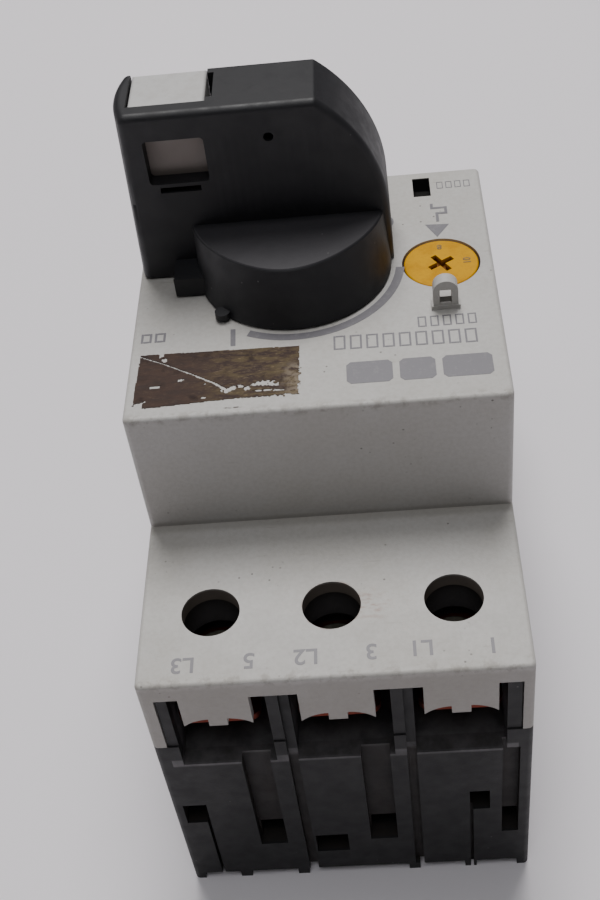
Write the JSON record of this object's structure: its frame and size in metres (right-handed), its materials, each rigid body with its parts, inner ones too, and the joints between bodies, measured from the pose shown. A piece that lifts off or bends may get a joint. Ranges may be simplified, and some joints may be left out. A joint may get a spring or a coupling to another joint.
{
  "type": "motor protection breaker",
  "caption": "Compact motor protection breaker with an offset rotary handle, padlock slide, current dial, stepped light cover, dark base and screw terminals at both ends.",
  "frame": {"origin": "centre of the back plane, at the bottom of the object's box", "axes": "+Z out of the front face, -Y towards the line terminals, +X towards the current dial"},
  "size_m": [0.045, 0.093, 0.088],
  "materials": {
    "dark_housing": "fine matt moulded thermoset",
    "light_cover": "fine spark-textured light grey plastic",
    "black_handle": "satin black plastic",
    "light_slide": "smooth light grey plastic",
    "yellow_dial": "glossy amber yellow plastic",
    "black_insulator": "matt black plastic",
    "spring_steel": "drawn wire",
    "steel": "zinc plated sheet",
    "screw_steel": "yellowed zinc plating",
    "copper": "bare copper",
    "clamp_copper": "reddish copper plated clamp",
    "brass": "tinned brass strip",
    "heater": "oxidised heater tape"
  },
  "bodies": {
    "breaker": {"base_housing": "dark_housing", "front_cover": "light_cover", "line_terminal_cover": "light_cover", "load_terminal_cover": "light_cover", "latch_frame": "steel", "main_spring": "spring_steel", "test_spring": "spring_steel", "latch_spring": "spring_steel", "fixed_contacts_1": "copper", "arc_chute_1": "steel", "magnet_coil_1": "copper", "magnet_yoke_1": "steel", "bimetal_1": "heater", "line_plate_1": "brass", "load_strip_1": "brass", "fixed_contacts_2": "copper", "arc_chute_2": "steel", "magnet_coil_2": "copper", "magnet_yoke_2": "steel", "bimetal_2": "heater", "line_plate_2": "brass", "load_strip_2": "brass", "fixed_contacts_3": "copper", "arc_chute_3": "steel", "magnet_coil_3": "copper", "magnet_yoke_3": "steel", "bimetal_3": "heater", "line_plate_3": "brass", "load_strip_3": "brass"},
    "handle": {"rotary_handle": "black_handle", "operating_shaft": "black_insulator"},
    "lock_slide": {"lock_slide": "light_slide"},
    "switch_lever": {"switch_lever": "steel"},
    "contact_carrier": {"contact_carrier": "black_insulator", "contact_bridge_1": "copper", "contact_spring_1": "spring_steel", "contact_bridge_2": "copper", "contact_spring_2": "spring_steel", "contact_bridge_3": "copper", "contact_spring_3": "spring_steel"},
    "current_dial": {"current_dial": "yellow_dial", "dial_cam": "black_insulator"},
    "test_slide": {"test_slide": "black_insulator"},
    "trip_bar": {"trip_bar": "black_insulator"},
    "rail_latch": {"rail_latch": "black_insulator"},
    "plunger_1": {"plunger_1": "steel"},
    "line_clamp_1": {"line_washer_1": "clamp_copper"},
    "line_screw_1": {"line_screw_1": "screw_steel"},
    "load_clamp_1": {"load_washer_1": "clamp_copper"},
    "load_screw_1": {"load_screw_1": "screw_steel"},
    "plunger_2": {"plunger_2": "steel"},
    "line_clamp_2": {"line_washer_2": "clamp_copper"},
    "line_screw_2": {"line_screw_2": "screw_steel"},
    "load_clamp_2": {"load_washer_2": "clamp_copper"},
    "load_screw_2": {"load_screw_2": "screw_steel"},
    "plunger_3": {"plunger_3": "steel"},
    "line_clamp_3": {"line_washer_3": "clamp_copper"},
    "line_screw_3": {"line_screw_3": "screw_steel"},
    "load_clamp_3": {"load_washer_3": "clamp_copper"},
    "load_screw_3": {"load_screw_3": "screw_steel"}
  },
  "joints": [
    {"name": "handle_turn", "type": "hinge", "parent": "breaker", "child": "handle", "pos_m": [-0.0024, 0.0034, 0.064], "axis": [0, 0, 1], "range_deg": [-90, 0]},
    {"name": "lock_slide_pull", "type": "slide", "parent": "handle", "child": "lock_slide", "axis": [0, 0, 1], "range_m": [0, 0.009]},
    {"name": "lever_rock", "type": "hinge", "parent": "breaker", "child": "switch_lever", "pos_m": [-0.0024, 0.018, 0.0485], "axis": [1, 0, 0], "range_deg": [-5.75, 0], "deforming": ["main_spring"]},
    {"name": "carrier_lift", "type": "slide", "parent": "breaker", "child": "contact_carrier", "axis": [0, 0, 1], "range_m": [0, 0.003]},
    {"name": "dial_turn", "type": "hinge", "parent": "breaker", "child": "current_dial", "pos_m": [0.016, 0.0023, 0.062], "axis": [0, 0, 1], "range_deg": [-120, 120]},
    {"name": "test_push", "type": "slide", "parent": "breaker", "child": "test_slide", "axis": [0, -1, 0], "range_m": [0, 0.0018], "stiffness_N_per_m": 100, "springref_m": -0.001, "deforming": ["test_spring"]},
    {"name": "trip_shift", "type": "slide", "parent": "breaker", "child": "trip_bar", "axis": [1, 0, 0], "range_m": [0, 0.0013]},
    {"name": "rail_latch_pull", "type": "slide", "parent": "breaker", "child": "rail_latch", "axis": [0, 1, 0], "range_m": [0, 0.0022], "stiffness_N_per_m": 300, "springref_m": -0.002, "deforming": ["latch_spring"]},
    {"name": "plunger_strike_1", "type": "slide", "parent": "breaker", "child": "plunger_1", "axis": [0, 0, -1], "range_m": [0, 0.003], "stiffness_N_per_m": 60, "springref_m": -0.004},
    {"name": "line_clamp_down_1", "type": "slide", "parent": "breaker", "child": "line_clamp_1", "axis": [0, 0, -1], "range_m": [0, 0.0035]},
    {"name": "line_screw_turn_1", "type": "hinge", "parent": "line_clamp_1", "child": "line_screw_1", "pos_m": [-0.0142, -0.0364, 0.0375], "axis": [0, 0, -1], "range_deg": [0, 1800]},
    {"name": "load_clamp_down_1", "type": "slide", "parent": "breaker", "child": "load_clamp_1", "axis": [0, 0, -1], "range_m": [0, 0.0035]},
    {"name": "load_screw_turn_1", "type": "hinge", "parent": "load_clamp_1", "child": "load_screw_1", "pos_m": [-0.0142, 0.0364, 0.0375], "axis": [0, 0, -1], "range_deg": [0, 1800]},
    {"name": "plunger_strike_2", "type": "slide", "parent": "breaker", "child": "plunger_2", "axis": [0, 0, -1], "range_m": [0, 0.003], "stiffness_N_per_m": 60, "springref_m": -0.004},
    {"name": "line_clamp_down_2", "type": "slide", "parent": "breaker", "child": "line_clamp_2", "axis": [0, 0, -1], "range_m": [0, 0.0035]},
    {"name": "line_screw_turn_2", "type": "hinge", "parent": "line_clamp_2", "child": "line_screw_2", "pos_m": [0, -0.0364, 0.0375], "axis": [0, 0, -1], "range_deg": [0, 1800]},
    {"name": "load_clamp_down_2", "type": "slide", "parent": "breaker", "child": "load_clamp_2", "axis": [0, 0, -1], "range_m": [0, 0.0035]},
    {"name": "load_screw_turn_2", "type": "hinge", "parent": "load_clamp_2", "child": "load_screw_2", "pos_m": [0, 0.0364, 0.0375], "axis": [0, 0, -1], "range_deg": [0, 1800]},
    {"name": "plunger_strike_3", "type": "slide", "parent": "breaker", "child": "plunger_3", "axis": [0, 0, -1], "range_m": [0, 0.003], "stiffness_N_per_m": 60, "springref_m": -0.004},
    {"name": "line_clamp_down_3", "type": "slide", "parent": "breaker", "child": "line_clamp_3", "axis": [0, 0, -1], "range_m": [0, 0.0035]},
    {"name": "line_screw_turn_3", "type": "hinge", "parent": "line_clamp_3", "child": "line_screw_3", "pos_m": [0.0142, -0.0364, 0.0375], "axis": [0, 0, -1], "range_deg": [0, 1800]},
    {"name": "load_clamp_down_3", "type": "slide", "parent": "breaker", "child": "load_clamp_3", "axis": [0, 0, -1], "range_m": [0, 0.0035]},
    {"name": "load_screw_turn_3", "type": "hinge", "parent": "load_clamp_3", "child": "load_screw_3", "pos_m": [0.0142, 0.0364, 0.0375], "axis": [0, 0, -1], "range_deg": [0, 1800]}
  ],
  "couplings": [
    {"joint": "lever_rock", "follows": "handle_turn", "ratio": 0.0636},
    {"joint": "carrier_lift", "follows": "handle_turn", "m_per_rad": -0.0019},
    {"joint": "trip_shift", "follows": "test_push", "ratio": 0.7},
    {"joint": "line_screw_turn_1", "follows": "line_clamp_down_1", "rad_per_m": 8976},
    {"joint": "load_screw_turn_1", "follows": "load_clamp_down_1", "rad_per_m": 8976},
    {"joint": "line_screw_turn_2", "follows": "line_clamp_down_2", "rad_per_m": 8976},
    {"joint": "load_screw_turn_2", "follows": "load_clamp_down_2", "rad_per_m": 8976},
    {"joint": "line_screw_turn_3", "follows": "line_clamp_down_3", "rad_per_m": 8976},
    {"joint": "load_screw_turn_3", "follows": "load_clamp_down_3", "rad_per_m": 8976}
  ]
}
